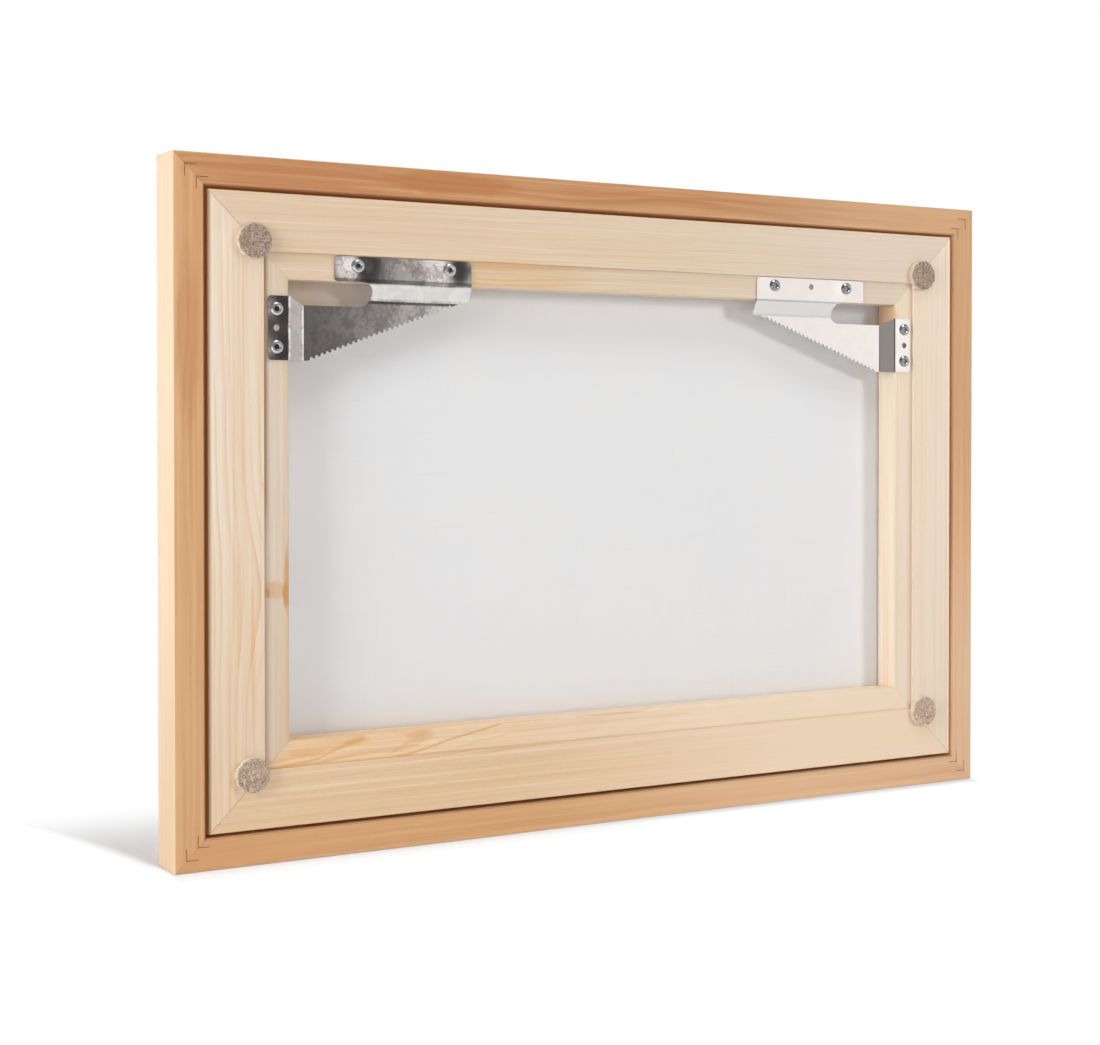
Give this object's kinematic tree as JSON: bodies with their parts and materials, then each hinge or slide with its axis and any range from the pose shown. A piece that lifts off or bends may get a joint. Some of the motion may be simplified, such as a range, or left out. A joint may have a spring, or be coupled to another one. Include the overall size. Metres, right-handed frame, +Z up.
{
  "type": "framed stretched canvas",
  "caption": "Cotton canvas on a mitred pine stretcher inside a slim alder frame, with serrated corner hangers and felt wall pads on the back.",
  "frame": {"origin": "bottom centre of the bounding box, on the floor plane under the lower alder rail", "axes": "+Z up; the canvas faces -Y and the back with the hangers faces +Y; +X is to the right when looking at the canvas face"},
  "size_m": [0.644, 0.036, 0.444],
  "materials": {
    "alder": "planed and oiled, satin",
    "pine": "planed, unfinished, matt",
    "canvas_cloth": "plain-weave cotton, primed white on the face",
    "zinc_sheet": "zinc plated, mottled, half gloss",
    "screw_steel": "bright zinc plated",
    "nail_steel": "blued sheet steel",
    "staple_steel": "galvanised wire",
    "felt": "pressed wool felt, flecked grey-brown",
    "foam_tape": "white closed-cell foam, adhesive both sides"
  },
  "bodies": {
    "root": {"frame_bar_top": "alder", "frame_bar_bottom": "alder", "frame_bar_left": "alder", "frame_bar_right": "alder", "frame_v_nails_top_left": "nail_steel", "frame_v_nails_top_right": "nail_steel", "frame_v_nails_bottom_left": "nail_steel", "frame_v_nails_bottom_right": "nail_steel", "stretcher_bar_top": "pine", "stretcher_bar_bottom": "pine", "stretcher_bar_left": "pine", "stretcher_bar_right": "pine", "stretcher_v_nails_top_left": "nail_steel", "stretcher_v_nails_top_right": "nail_steel", "stretcher_v_nails_bottom_left": "nail_steel", "stretcher_v_nails_bottom_right": "nail_steel", "canvas": "canvas_cloth", "canvas_staples_top": "staple_steel", "canvas_staples_bottom": "staple_steel", "canvas_staples_left": "staple_steel", "canvas_staples_right": "staple_steel", "rabbet_tape_top": "foam_tape", "rabbet_tape_bottom": "foam_tape", "rabbet_tape_left": "foam_tape", "rabbet_tape_right": "foam_tape", "hanger_plate_left": "zinc_sheet", "hanger_screws_left_top": "screw_steel", "hanger_screws_left_side": "screw_steel", "hanger_plate_right": "zinc_sheet", "hanger_screws_right_top": "screw_steel", "hanger_screws_right_side": "screw_steel", "felt_pad_top_left": "felt", "felt_pad_top_right": "felt", "felt_pad_bottom_left": "felt", "felt_pad_bottom_right": "felt"}
  },
  "joints": []
}
